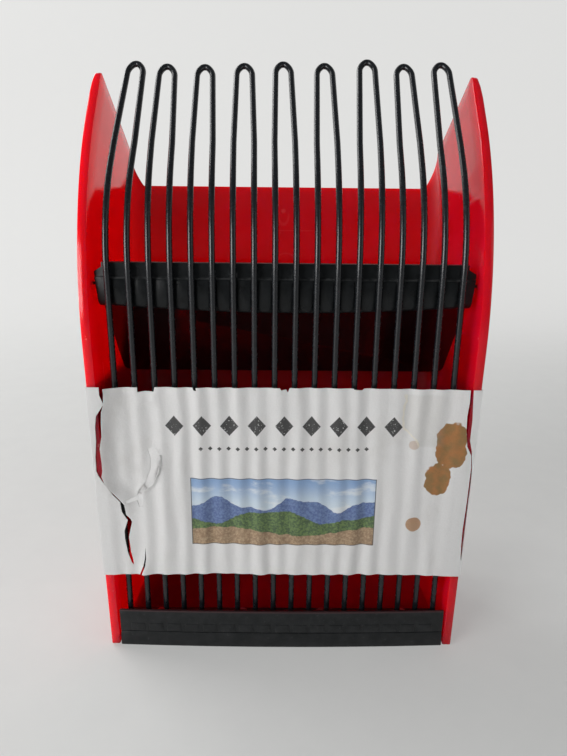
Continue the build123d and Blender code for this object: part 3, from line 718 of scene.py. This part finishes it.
mottle = place.noise(0.3, 4, 0.6)
near_wire = x.sum("PINGPONG", LEG_PITCH / 2).above(1.2, 3.0)
scuffs_and_ledge_highlight = place.stretched(2.2, 1, 0.25).noise(1.0, 4, 0.7).above(0.56, 0.74) * near_wire
scuffs_and_ledge_highlight = scuffs_and_ledge_highlight * depth.below(6.4, 7.2) * height.between(BAR_LEDGE - 1, BAR_LEDGE + 2.5, 1.6)
# Lighter grey in dashes along the ledge is a painted highlight, added to the real scuffs where the wires rub.
ledge_painted_highlight = height.between(BAR_LEDGE - 0.6, BAR_LEDGE + 0.2, 0.25) * depth.below(6.0, 6.4)
scuffs_and_ledge_highlight = scuffs_and_ledge_highlight + ledge_painted_highlight * place.noise(0.5, 4, 0.6).above(0.35, 0.6) * 0.22
slate = mottle.above(0.3, 0.7).blend(BAR_SLATE, BAR_SLATE_PALE)
painted(
    shader,
    Base_Color=(scuffs_and_ledge_highlight * 0.35).blend(slate, SCUFF_AND_HIGHLIGHT_GREY),
    Roughness=mottle * 0.16 + 0.22 + scuffs_and_ledge_highlight * 0.2,
    Normal=(place.noise(3.5, 2) + mottle + scuffs_and_ledge_highlight).bump(0.1, 0.0006),
)
placed("flap_bar_moulding", bar, "scoop", "fitting_black", bar_black, "flap_bar")


# Flap: a glossy black panel of flexible plastic that hangs from a bead in the bar's barrel, sloped back from
# the wires. Berries push past it on their way in, and it springs back behind them.
FLAP_ANGLE = radians(37)
FLAP_REACH = 41.5
FLAP_THICK = 1.5
FLAP_HALF = 64.9
FLAP_CORNER = 3.0
BEAD_HALF = 65.1
FLAP_BLACK = (0.003, 0.0028, 0.003, 1)
FLAP_BLACK_PALE = (0.006, 0.0055, 0.006, 1)
down = Vector((0, sin(FLAP_ANGLE), -cos(FLAP_ANGLE)))
out = Vector((0, -cos(FLAP_ANGLE), -sin(FLAP_ANGLE)))
flap = bmesh.new()
bmesh.ops.create_grid(flap, x_segments=1, y_segments=1, size=0.5)
bmesh.ops.scale(flap, vec=(2 * FLAP_HALF, FLAP_REACH, 1), verts=flap.verts)
bmesh.ops.translate(flap, vec=(0, FLAP_REACH / 2, -FLAP_THICK / 2), verts=flap.verts)
drawn_out(flap, list(flap.faces), (0, 0, FLAP_THICK))
free_edge = [edge for edge in flap.edges if all(vert.co.y > FLAP_REACH - 1 for vert in edge.verts)]
rounded(flap, [edge for edge in free_edge if span(edge, 2) > 1], FLAP_CORNER, 8)
hung = Matrix(((1, 0, 0, 0), (0, down.y, out.y, BARREL[0]), (0, down.z, out.z, BARREL[1]), (0, 0, 0, 1)))
bmesh.ops.transform(flap, matrix=hung, verts=flap.verts)
bead = bmesh.new()
rod(bead, BEAD_RADIUS, BEAD_RADIUS, (-BEAD_HALF, *BARREL), (BEAD_HALF, *BARREL))
joined(flap, bead, "UNION")
flattened(flap)
softened(flap, 0.3)
flap_black, shader, place = new_finish("flap_black", IOR=1.5)
cloud = place.noise(0.06, 3, 0.6)
smudge = place.stretched(1, 1, 0.4).noise(0.16, 4, 0.65)
specks = place.noise(1.3, 2, 0.5).above(0.78, 0.8)
black = cloud.above(0.3, 0.7).blend(FLAP_BLACK, FLAP_BLACK_PALE)
painted(
    shader,
    Base_Color=(specks * 0.4).blend(black, DUST),
    Roughness=smudge.above(0.4, 0.75) * 0.14 + 0.1,
    Normal=(place.noise(0.05, 2) + place.noise(1.8, 2) * 0.06).bump(0.1, 0.003),
)
placed("flap_panel", flap, "flap", "flap_black", flap_black, "flap")


# Handle: a black moulded grip on two slanting legs, with rounded edges and a finely textured surface, screwed
# to the outside of the roof.
HANDLE_HALF = 13.0
HANDLE_OUTLINE = (
    (DEPTH, 11), (101.5, 17), (101.5, 124), (DEPTH, 143), (DEPTH, 114), (87, 107.67), (87, 32), (DEPTH, 29),
)
HANDLE_TURNS = ((9.0, 86, 88), (15.0, 100, 110))        # radius, and the depths that its edges lie between
HANDLE_ROUND = 5.0
HANDLE_BLACK = (0.009, 0.009, 0.01, 1)
HANDLE_BLACK_PALE = (0.018, 0.018, 0.02, 1)
handle = bmesh.new()
crossbar(handle, HANDLE_OUTLINE, -HANDLE_HALF, HANDLE_HALF)
for radius, near, far in HANDLE_TURNS:
    turns = [edge for edge in handle.edges if span(edge, 0) > HANDLE_HALF]
    rounded(handle, [edge for edge in turns if near < edge.verts[0].co.y < far], radius, 10)
long_edges = [edge for edge in handle.edges if span(edge, 0) < 1]
long_edges = [edge for edge in long_edges if any(vert.co.y > DEPTH + 0.01 for vert in edge.verts)]
rounded(handle, long_edges, HANDLE_ROUND, 6)
handle_black, shader, place = new_finish("handle_black", IOR=1.48)
mottle = place.noise(0.2, 4, 0.6)
cells = {"Vector": place, "Scale": 1.5, "Smoothness": 0.6}
pebble = place.node("TexVoronoi", {"feature": "SMOOTH_F1"}, cells)
seam = abs(place.split()[0]).below(0.12, 0.3)
painted(
    shader,
    Base_Color=mottle.above(0.3, 0.7).blend(HANDLE_BLACK, HANDLE_BLACK_PALE),
    Roughness=place.noise(0.03, 3).above(0.35, 0.7) * 0.15 + 0.38,
    Normal=(pebble + seam * 0.7).bump(0.25, 0.0004),
)
placed("handle_grip", handle, "scoop", "handle_black", handle_black, "handle")


# Handle screws: countersunk, plated and slotted, driven from inside the scoop into the handle's feet, so that
# their heads lie flush with the roof.
SCREW_STEPS = ((3.6, 0, 0), (0.2, 0.15, 0), (-1.8, 1.75, 0), (0, 13.9, 0), (-2.0, 0.5, 0))
SLOT_HALF = 0.5
SLOT_DEPTH = 0.9
screws = bmesh.new()
for x, height in SCREW_PLACES:
    outline = [screws.verts.new((x, roof_inside + PLAY, height))]
    for step in SCREW_STEPS:
        outline.append(drawn_on(screws, outline[-1], step))
    lathe = {edge for vert in outline for edge in vert.link_edges}
    bmesh.ops.spin(
        screws, geom=list(lathe), cent=(x, DEPTH, height), axis=(0, 1, 0), angle=2 * pi, steps=28,
        use_merge=True,
    )
bmesh.ops.remove_doubles(screws, verts=screws.verts, dist=0.005)
slots = bmesh.new()
for x, height in SCREW_PLACES:
    slot = oblong(roof_inside - 1, roof_inside + SLOT_DEPTH, height - SLOT_HALF, height + SLOT_HALF)
    crossbar(slots, slot, x - 5, x + 5)
joined(screws, slots, "DIFFERENCE")
flattened(screws)
placed("screw_set", screws, "scoop", "fastener_steel", fastener_steel, "handle_screws")


# Paper sleeve: a white printed paper band round the walls, the roof and the wires. It is worn: cockled over
# the wires, split beside both rims and stained. It is cut flat and torn, folded round and glued on the roof.
SLEEVE_LOW = 32.7
SLEEVE_HIGH = 109.6
PAPER = 0.25            # thickness
PAPER_GAP = 0.15        # between the paper and the shell
GLUE_LAP = 9.0
LAP_RISE = 1.5          # run over which the lap climbs on the other end
front = HALF + 0.2
wall_end = front + wall_flat
turn_end = wall_end + (ROOF_CORNER + PAPER_GAP) * pi / 2
meeting = turn_end + roof_flat
flank = [front + 0.5, front + 2, front + 6] + spread(front + 12, wall_end, 5)
flank += spread(wall_end, turn_end, 8)[1:] + spread(turn_end, meeting, 10)[1:]
columns = [-run for run in reversed(flank)] + spread(-front, front, 172) + flank + [meeting + GLUE_LAP]
sleeve = bmesh.new()
bmesh.ops.create_grid(sleeve, x_segments=len(columns) - 1, y_segments=56, size=0.5)
for vert in sleeve.verts:
    column = columns[round((vert.co.x + 0.5) * (len(columns) - 1))]
    vert.co = (column, SLEEVE_LOW + (vert.co.y + 0.5) * (SLEEVE_HIGH - SLEEVE_LOW), 0)
drawn_out(sleeve, list(sleeve.faces), (0, 0, PAPER))

# The tears, as outlines of points across the front and up.
SPLIT_LEFT = [
    (-66.1, 111), (-66.1, 106.6), (-64.9, 103.2), (-66.4, 100.9), (-67.9, 98.7), (-68.5, 94.5), (-68.6, 89.1),
    (-69.3, 82.6), (-69.4, 77), (-68.9, 75.4), (-66.7, 71.4), (-63.9, 66.9), (-61.6, 64.1), (-61.3, 60),
    (-59.9, 57.4), (-59.2, 56.5), (-60.8, 51.8), (-60.8, 48.2), (-60.1, 42.7), (-58.9, 37.9), (-58.1, 36.9),
]
SPLIT_RIGHT = [
    (-64.1, 111), (-63.9, 107.6), (-64.2, 104), (-65.1, 100.9), (-65.4, 97.2), (-65.6, 91.8), (-66.6, 87),
    (-66.3, 81.5), (-66.3, 78.2), (-66.8, 75.9), (-65.6, 72), (-62.8, 68.1), (-60.5, 64.6), (-59.8, 63.5),
    (-59.6, 58.8), (-58.1, 57.0), (-57.7, 55.6), (-59.2, 49.4), (-58.8, 42.8), (-58.2, 39.1),
]
RIM_SPLIT = [
    (66.5, 111), (66.6, 105), (66.2, 99.8), (66.4, 94.5), (67.3, 88), (69.2, 84.2), (69.6, 79.3),
    (69.5, 73.1), (69.4, 66.8), (69.2, 60.5), (68.9, 53.4), (69.0, 46.3), (69.4, 40), (69.7, 40),
    (69.9, 46), (70.1, 55), (70.3, 66), (70.2, 76), (69.9, 80), (69.3, 85.9), (68.2, 90.2),
    (68.3, 98.2), (67.9, 105), (67.6, 111),
]
TOP_NOTCHES = (
    [(-52.7, 111), (-52.6, 107.8), (-50, 108.1), (-46.9, 107.9), (-46.1, 111)],
    [(-33.2, 111), (-32.6, 108.6), (-31.6, 108.4), (-31.9, 111)],
    [(-2.5, 111), (-1.2, 108.8), (0.6, 109.1), (1.2, 107.9), (2.4, 111)],
    [(24, 111), (25, 109.2), (28, 109.0), (30, 111)],
)
FOOT_TEAR = [(-53.2, 44.8), (-53.6, 40), (-54.3, 36.7), (-56.2, 32), (-55.4, 32), (-53.6, 36.5), (-53.1, 40)]
PEELED = [
    (-47.9, 86.6), (-45.5, 82.8), (-46.3, 77.2), (-48.7, 71.6), (-51.4, 69.3), (-53.6, 67.6), (-53.1, 62.4),
    (-54.6, 62.2), (-55.2, 64.8), (-59.2, 63.9), (-59.4, 65), (-55.5, 66.4), (-54.2, 69.4), (-51.6, 72.6),
    (-49.8, 77.4), (-49.4, 82), (-50.2, 85.6),
]
tears = bmesh.new()
through = [SPLIT_LEFT + SPLIT_RIGHT[::-1], RIM_SPLIT, *TOP_NOTCHES, FOOT_TEAR]
for outline, floor in [(outline, -1) for outline in through] + [(PEELED, PAPER * 0.45)]:
    block(tears, [(x / (1 + FLARE * height / HALF), height, floor) for x, height in outline], (0, 0, 3))
joined(sleeve, tears, "DIFFERENCE")

PAPER_DIP = 0.9         # how far the paper hangs in behind the rims
TORN_RUN = 6.0          # how far from a torn edge the paper lifts
SPLIT_LIFT = 2.4
SPLIT_LIFT_FOOT = 58.0  # height above which the edge of the split lifts
PEEL_LIFT = 0.9
TAB_FOLD = (-49.6, 105.6)       # a folded bit of paper under the first notch
FOOT_CURL = (-54.5, 1.1)        # where the foot curls out, and how far


def across(line, height):
    """Where a line of (x, height) points that runs downwards lies, at a height."""
    for (x, top), (next_x, low) in zip(line, line[1:]):
        if low <= height <= top:
            return x + (next_x - x) * (top - height) / (top - low)
    return line[-1][0]


def cockled(x, height):
    """How far the paper's front dips behind the rims: sagged, rippled over the wires, lifted at tears."""

    def ripple(wide, tall, seed):
        """Smooth noise at this point, at other scales."""
        return noise.noise(Vector((x * wide, height * tall, seed)))

    waves = sin(2 * pi * (x + 1.4 * ripple(0.02, 0.03, 4)) / LEG_PITCH) * (0.3 + 0.22 * ripple(0.05, 0.02, 9))
    waves += 0.75 * ripple(0.11, 0.012, 1) + 0.2 * ripple(0.3, 0.05, 2)
    dip = max(0.0, 1 - (x / 66) ** 8) * (PAPER_DIP + waves)
    beside = x - across(SPLIT_RIGHT, height)
    if -0.3 < beside < TORN_RUN and height > SPLIT_LIFT_FOOT:
        fade = min(1, (height - SPLIT_LIFT_FOOT) / 12)
        dip -= SPLIT_LIFT * (1 - max(0, beside) / TORN_RUN) ** 1.3 * fade
    if PEELED[5][1] < height < PEELED[0][1]:
        beside = across(PEELED[:6], height) - x
        if -0.3 < beside < TORN_RUN:
            fade = sin(pi * (height - 66.5) / 21)
            dip -= PEEL_LIFT * (1 - max(0, beside) / TORN_RUN) ** 1.5 * fade
    tab = exp(-((x - TAB_FOLD[0]) / 3.2) ** 4) * exp(-((height - TAB_FOLD[1]) / 2.6) ** 4)
    dip -= tab * (0.4 + 0.5 * sin(2 * pi * height / 2.4))
    curl = exp(-((x - FOOT_CURL[0]) / 2.0) ** 2) * max(0, 1 - (height - SLEEVE_LOW) / 10)
    return dip - FOOT_CURL[1] * curl


for vert in sleeve.verts:
    run, level, lift = vert.co
    hand = 1 if run > 0 else -1
    past = abs(run)
    lift += PAPER_GAP
    if past <= front:
        vert.co = (run, cockled(run * (1 + FLARE * level / HALF), level) - lift, level)
    elif past <= wall_end:
        vert.co = (hand * (HALF + lift), past - front, level)
    elif past <= turn_end:
        turn = (past - wall_end) / (turn_end - wall_end) * pi / 2
        reach = ROOF_CORNER + lift
        vert.co = (hand * (roof_flat + reach * cos(turn)), wall_flat + reach * sin(turn), level)
    else:
        lapped = 0.0
        if hand > 0:
            lapped = min(max(0, past - meeting + LAP_RISE), LAP_RISE) / LAP_RISE * (PAPER + 0.05)
        vert.co = (hand * (roof_flat - past + turn_end), DEPTH + lift + lapped, level)
    vert.co.x *= outer_half(vert.co.y / DEPTH, level, level) / HALF

WHITE = (0.84, 0.83, 0.82, 1)
WHITE_DULL = (0.77, 0.76, 0.75, 1)
GRIME = (0.5, 0.47, 0.43, 1)
INK = (0.018, 0.018, 0.018, 1)
FRAME_INK = (0.05, 0.05, 0.05, 1)
SKY = ((0.62, 0.72, 0.82, 1), (0.24, 0.38, 0.62, 1))
CLOUD = (0.85, 0.87, 0.88, 1)
HILLS = ((0.07, 0.12, 0.30, 1), (0.16, 0.25, 0.46, 1))
WOOD = ((0.03, 0.075, 0.02, 1), (0.15, 0.25, 0.06, 1))
FIELD = ((0.28, 0.17, 0.09, 1), (0.5, 0.36, 0.22, 1))
STAIN = ((0.42, 0.17, 0.035, 1), (0.27, 0.15, 0.035, 1))
DROP_STAIN = (0.42, 0.20, 0.06, 1)
SCUFF = (0.5, 0.48, 0.43, 1)
SCUFF_EDGE = (0.86, 0.8, 0.66, 1)
sleeve_paper, shader, place = new_finish(
    "sleeve_paper", IOR=1.45,
    Subsurface_Weight=0.7, Subsurface_Radius=(1.0, 1.0, 1.0), Subsurface_Scale=0.0005,
)
x, depth, height = place.split()
faced = depth.below(3.0, 3.4)
fibre = place.noise(2.0, 4, 0.6)
grime = place.stretched(1, 1, 0.5).noise(0.06, 5, 0.6).above(0.5, 0.75)
paper = (grime * 0.25).blend(fibre.blend(WHITE_DULL, WHITE), GRIME)

# The print: a drawn landscape in a thin frame, a row of lozenges and a row of dots.
ridge = 62.5 + x.wave(31, 0.4) * 2.4 + x.wave(13, 1.0) * 0.9 + place.noise(0.5, 4) * 1.6
slope = 57.5 + x.wave(47, 2.2) * 2.6 + x.wave(19, 0.3) * 0.8 + place.noise(0.8, 4) * 1.2
meadow = 51.0 + x.wave(60, 4.0) * 1.8 + place.noise(0.4, 4) * 1.6
leafy = place.noise(1.1, 5, 0.65).above(0.35, 0.68)
cloud = place.stretched(0.4, 1, 1.3).noise(0.16, 4, 0.6).above(0.52, 0.66)
picture = (cloud * 0.6).blend(height.above(62, 74).blend(*SKY), CLOUD)
for skyline, tones in ((ridge, HILLS), (slope, WOOD), (meadow, FIELD)):
    picture = (height - skyline).below(-0.12, 0.12).blend(picture, leafy.blend(*tones))
panel = x.between(-35, 35, 0.1) * height.between(46, 74, 0.1) * faced
border = panel - x.between(-34.7, 34.7, 0.1) * height.between(46.3, 73.7, 0.1) * faced
paper = (panel * 0.94).blend(paper, border.blend(picture, FRAME_INK))
lozenges = (x.sum("PINGPONG", 5.0) + abs(height - 95) * 0.85).below(3.2, 3.5) * abs(x).below(44.5, 44.6)
dots = (x.sum("PINGPONG", 1.7) + abs(height - 86)).below(0.75, 0.95) * abs(x).below(32.0, 32.1)
inked = (lozenges + dots) * faced * place.noise(1.5, 4).above(0.26, 0.4)
paper = (inked * 0.93).blend(paper, INK)

# The wear: brown stains with ragged edges, and a patch at the upper right where the surface is rubbed off.
ragged = place.noise(0.3, 1.5, 0.5) * 2.4
blot = (away(x, height, (61.7, 88)) - abs(height - 88) * 0.42 + ragged).below(6.3, 6.6)
lower_blot = (away(x, height, (57.5, 74.3)) - abs(height - 74.3) * 0.36 + ragged).below(5.3, 5.6)
drop = (away(x, height, (49.9, 55.3)) + ragged * 0.3).below(3.2, 3.5)
speck = (away(x, height, (47.9, 88.1)) + ragged * 0.3).below(2.0, 2.4) * 0.5
stain = (blot + lower_blot).sum("MINIMUM", 1.0) * faced
paper = (stain * 0.95).blend(paper, place.noise(0.25, 3).above(0.35, 0.65).blend(*STAIN))
paper = ((drop + speck) * faced * 0.8).blend(paper, DROP_STAIN)
scuff_edge = x - 41.5 - place.noise(0.15, 5, 0.6) * 4 - height.below(88, 96) * 6
scuffed = height.between(87.5, 107.5, 0.6) * x.below(55, 60) * faced
paper = (scuff_edge.above(0, 0.3) * scuffed * 0.22).blend(paper, SCUFF)
paper = (abs(scuff_edge).below(0.3, 0.6) * scuffed * 0.6).blend(paper, SCUFF_EDGE)
painted(
    shader,
    Base_Color=paper,
    Roughness=fibre * 0.15 + 0.45 - panel * 0.08,
    Normal=(fibre * 0.4 + place.noise(0.35, 4, 0.6)).bump(0.15, 0.0012),
)
band = placed("sleeve_band", sleeve, "scoop", "sleeve_paper", sleeve_paper, "paper_sleeve")
band_size = ((2 * meeting + GLUE_LAP) / 1000, (SLEEVE_HIGH - SLEEVE_LOW) / 1000)


# Stage: a pale tabletop that runs up into a plain backdrop, in metres. A large soft panel lights it from the
# left, a weaker one from the right and one from behind, and the camera has the photograph's view.
TABLE_HALF = (3.0, 2.0)
TABLE_BACK = 0.6        # where the tabletop starts to curve up
TABLE_TOP = -0.0003
SWEEP_RADIUS = 0.4
BACKDROP = 2.0          # height of the backdrop above the curve
TABLE_TONES = ((0.66, 0.66, 0.65, 1), (0.74, 0.74, 0.72, 1))
GLOW = (0.8, 0.8, 0.79, 1)
SKYLIGHT = (0.93, 0.97, 1.0, 1)
SENSOR = 36.0
FOCAL = 600 / 756       # focal length over the picture's height, both in pixels
CAMERA_PLACE = (-0.0024, -0.2325, 0.1744)
CAMERA_PAN = radians(-0.55)
CAMERA_TILT = radians(16.6)
CAMERA_ROLL = radians(0.62)
floor = bmesh.new()
bmesh.ops.create_grid(floor, x_segments=1, y_segments=1, size=1.0)
bmesh.ops.scale(floor, vec=(*TABLE_HALF, 1), verts=floor.verts)
bmesh.ops.translate(floor, vec=(0, TABLE_BACK - TABLE_HALF[1], TABLE_TOP), verts=floor.verts)
back = [edge for edge in floor.edges if all(vert.co.y > TABLE_BACK - 0.1 for vert in edge.verts)]
sweep = bmesh.ops.spin(
    floor, geom=back, cent=(0, TABLE_BACK, SWEEP_RADIUS), axis=(1, 0, 0), angle=pi / 2, steps=24,
    use_merge=False,
)
pulled(floor, only(sweep["geom_last"], bmesh.types.BMEdge), Matrix.Translation((0, 0, BACKDROP)))
for face in floor.faces:
    face.smooth = True
mesh = bpy.data.meshes.new("tabletop")
floor.to_mesh(mesh)
floor.free()
# What the camera and mirrors see of the table is lifted towards an even tone that brightens to the back.
pale, shader, place = new_finish("pale_table", Roughness=0.6)
painted(shader, Base_Color=place.noise(0.05, 4, 0.6).blend(*TABLE_TONES))
tree = pale.node_tree
seen = Tone(tree, tree.nodes.new("ShaderNodeLightPath").outputs["Is Camera Ray"])
mirrored = Tone(tree, seen.socket.node.outputs["Is Glossy Ray"])
glow = seen.node("Emission", None, {"Color": GLOW, "Strength": 1.0})
shown = (seen + mirrored).sum("MINIMUM", 1.0) * (place.split()[1].above(150, 900) * 0.5 + 0.35)
mixed = seen.node("MixShader", None, {0: shown, 1: Tone(tree, shader.outputs[0]), 2: glow})
tree.links.new(mixed.socket, tree.nodes["Material Output"].inputs["Surface"])
mesh.materials.append(pale)
tabletop = bpy.data.objects.new("tabletop", mesh)
bpy.context.scene.collection.objects.link(tabletop)

world = bpy.data.worlds.new("studio")
bpy.context.scene.world = world
world.use_nodes = True
background = world.node_tree.nodes["Background"]
background.inputs["Color"].default_value = SKYLIGHT
seen = Tone(world.node_tree, world.node_tree.nodes.new("ShaderNodeLightPath").outputs["Is Camera Ray"])
painted(background, Strength=seen * 0.65 + 0.15)


def panel_light(name, place, target, size, power):
    """A soft rectangular light that faces a point."""
    data = bpy.data.lights.new(name, "AREA")
    data.shape = "RECTANGLE"
    data.size, data.size_y = size
    data.energy = power
    lamp = bpy.data.objects.new(name, data)
    lamp.location = place
    lamp.rotation_euler = (Vector(target) - Vector(place)).to_track_quat("-Z", "Y").to_euler()
    bpy.context.scene.collection.objects.link(lamp)


# The left panel faces up past the picker, so that it doesn't burn out the tabletop in front of it.
panel_light("left_window", (-0.85, -0.72, 0.4), (0, 0, 0.9), (0.7, 0.6), 11.5)
panel_light("right_fill", (1.2, -0.6, 0.5), (0, 0, 0.1), (0.8, 0.8), 1.8)
panel_light("back_light", (-0.9, 0.55, 0.9), (0, 0.05, 0.12), (0.8, 0.7), 9)

view = bpy.data.cameras.new("photo_view")
view.sensor_width = SENSOR
view.lens = FOCAL * SENSOR
camera = bpy.data.objects.new("photo_view", view)
camera.location = CAMERA_PLACE
turn = Matrix.Rotation(CAMERA_PAN, 4, "Z") @ Matrix.Rotation(pi / 2 - CAMERA_TILT, 4, "X")
camera.rotation_euler = (turn @ Matrix.Rotation(CAMERA_ROLL, 4, "Z")).to_euler()
bpy.context.scene.collection.objects.link(camera)
bpy.context.scene.camera = camera
bpy.context.scene.view_settings.view_transform = "Standard"
